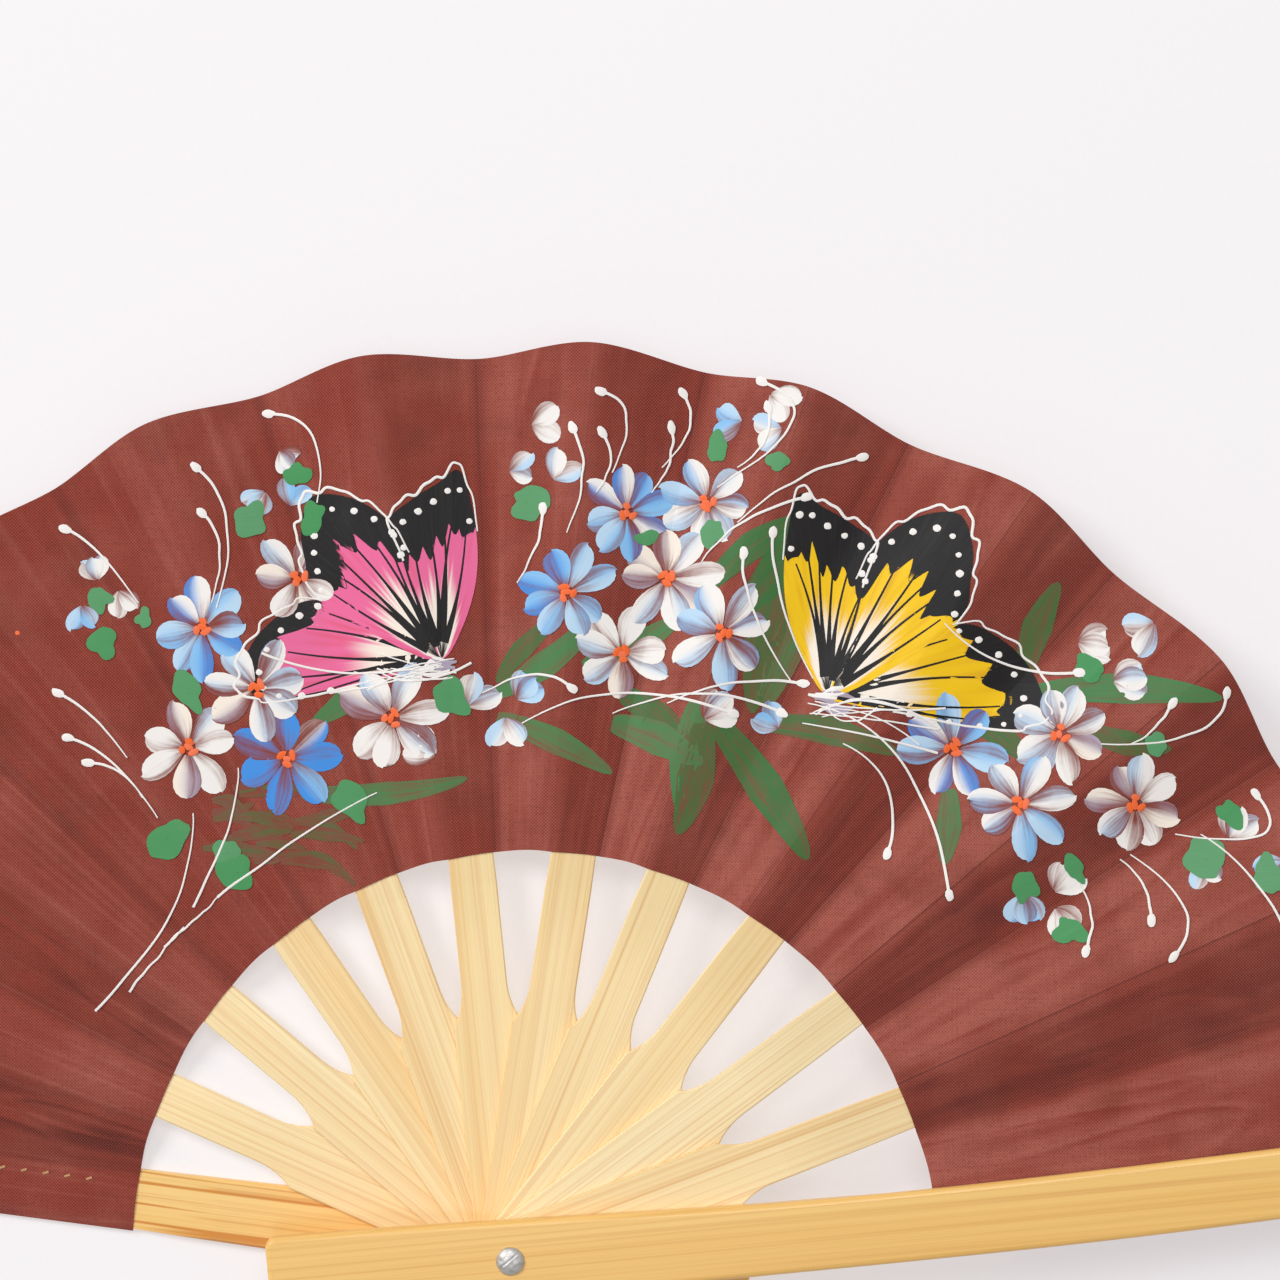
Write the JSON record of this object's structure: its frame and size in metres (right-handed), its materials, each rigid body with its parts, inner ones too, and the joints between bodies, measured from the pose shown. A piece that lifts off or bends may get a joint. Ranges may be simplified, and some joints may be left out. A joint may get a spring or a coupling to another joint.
{
  "type": "hand fan",
  "caption": "Open folding hand fan with bamboo ribs on one rivet and a pleated dark cloth leaf painted with flowers and butterflies.",
  "frame": {"origin": "on the rivet's axis, at the underside of the rear guard, where the rivet's back end is flush with it", "axes": "+Z along the rivet towards the front guard, the thin way; +X across the open fan's spread towards the front guard's tip; +Y from the rivet towards the middle of the leaf"},
  "size_m": [0.3636, 0.2293, 0.0199],
  "materials": {
    "guard_bamboo": "satin",
    "stick_bamboo": "satin",
    "leaf_cloth": "matte",
    "leaf_paint": "satin",
    "rivet_metal": "satin",
    "hem_thread": "matte"
  },
  "bodies": {
    "rear_rib": {"rear_guard": "guard_bamboo", "rivet": "rivet_metal", "rivet_washer": "rivet_metal", "leaf_on_rear_guard": "leaf_cloth", "hem_stitches": "hem_thread"},
    "rib_01": {"stick_01": "stick_bamboo", "leaf_on_stick_01": "leaf_cloth", "leaf_fold_01": "leaf_cloth"},
    "rib_02": {"stick_02": "stick_bamboo", "leaf_on_stick_02": "leaf_cloth", "leaf_fold_02": "leaf_cloth"},
    "rib_03": {"stick_03": "stick_bamboo", "leaf_on_stick_03": "leaf_cloth", "leaf_fold_03": "leaf_cloth"},
    "rib_04": {"stick_04": "stick_bamboo", "leaf_on_stick_04": "leaf_cloth", "leaf_fold_04": "leaf_cloth"},
    "rib_05": {"stick_05": "stick_bamboo", "leaf_on_stick_05": "leaf_cloth", "leaf_fold_05": "leaf_cloth"},
    "rib_06": {"stick_06": "stick_bamboo", "leaf_on_stick_06": "leaf_cloth", "leaf_fold_06": "leaf_cloth"},
    "rib_07": {"stick_07": "stick_bamboo", "leaf_on_stick_07": "leaf_cloth", "leaf_fold_07": "leaf_cloth"},
    "rib_08": {"stick_08": "stick_bamboo", "leaf_on_stick_08": "leaf_cloth", "leaf_fold_08": "leaf_cloth"},
    "rib_09": {"stick_09": "stick_bamboo", "leaf_on_stick_09": "leaf_cloth", "leaf_fold_09": "leaf_cloth"},
    "rib_10": {"stick_10": "stick_bamboo", "leaf_on_stick_10": "leaf_cloth", "leaf_fold_10": "leaf_cloth"},
    "front_rib": {"front_guard": "guard_bamboo", "leaf_on_front_guard": "leaf_cloth", "leaf_fold_11": "leaf_cloth"}
  },
  "joints": [
    {"name": "close_01", "type": "hinge", "parent": "rear_rib", "child": "rib_01", "pos_m": [0, 0, 0], "axis": [0, 0, 1], "range_deg": [0, 16.5], "deforming": ["leaf_fold_01"]},
    {"name": "close_02", "type": "hinge", "parent": "rib_01", "child": "rib_02", "pos_m": [0, 0, 0], "axis": [0, 0, 1], "range_deg": [0, 16.1], "deforming": ["leaf_fold_02"]},
    {"name": "close_03", "type": "hinge", "parent": "rib_02", "child": "rib_03", "pos_m": [0, 0, 0], "axis": [0, 0, 1], "range_deg": [0, 15.4], "deforming": ["leaf_fold_03"]},
    {"name": "close_04", "type": "hinge", "parent": "rib_03", "child": "rib_04", "pos_m": [0, 0, 0], "axis": [0, 0, 1], "range_deg": [0, 14.4], "deforming": ["leaf_fold_04"]},
    {"name": "close_05", "type": "hinge", "parent": "rib_04", "child": "rib_05", "pos_m": [0, 0, 0], "axis": [0, 0, 1], "range_deg": [0, 14.3], "deforming": ["leaf_fold_05"]},
    {"name": "close_06", "type": "hinge", "parent": "rib_05", "child": "rib_06", "pos_m": [0, 0, 0], "axis": [0, 0, 1], "range_deg": [0, 14.7], "deforming": ["leaf_fold_06"]},
    {"name": "close_07", "type": "hinge", "parent": "rib_06", "child": "rib_07", "pos_m": [0, 0, 0], "axis": [0, 0, 1], "range_deg": [0, 13.7], "deforming": ["leaf_fold_07"]},
    {"name": "close_08", "type": "hinge", "parent": "rib_07", "child": "rib_08", "pos_m": [0, 0, 0], "axis": [0, 0, 1], "range_deg": [0, 15.4], "deforming": ["leaf_fold_08"]},
    {"name": "close_09", "type": "hinge", "parent": "rib_08", "child": "rib_09", "pos_m": [0, 0, 0], "axis": [0, 0, 1], "range_deg": [0, 15.6], "deforming": ["leaf_fold_09"]},
    {"name": "close_10", "type": "hinge", "parent": "rib_09", "child": "rib_10", "pos_m": [0, 0, 0], "axis": [0, 0, 1], "range_deg": [0, 15.7], "deforming": ["leaf_fold_10"]},
    {"name": "close_11", "type": "hinge", "parent": "rib_10", "child": "front_rib", "pos_m": [0, 0, 0], "axis": [0, 0, 1], "range_deg": [0, 15.4], "deforming": ["leaf_fold_11"]}
  ],
  "couplings": [
    {"joint": "close_02", "follows": "close_01", "ratio": 0.97576},
    {"joint": "close_03", "follows": "close_01", "ratio": 0.93333},
    {"joint": "close_04", "follows": "close_01", "ratio": 0.87273},
    {"joint": "close_05", "follows": "close_01", "ratio": 0.86667},
    {"joint": "close_06", "follows": "close_01", "ratio": 0.89091},
    {"joint": "close_07", "follows": "close_01", "ratio": 0.8303},
    {"joint": "close_08", "follows": "close_01", "ratio": 0.93333},
    {"joint": "close_09", "follows": "close_01", "ratio": 0.94545},
    {"joint": "close_10", "follows": "close_01", "ratio": 0.95151},
    {"joint": "close_11", "follows": "close_01", "ratio": 0.93333}
  ]
}
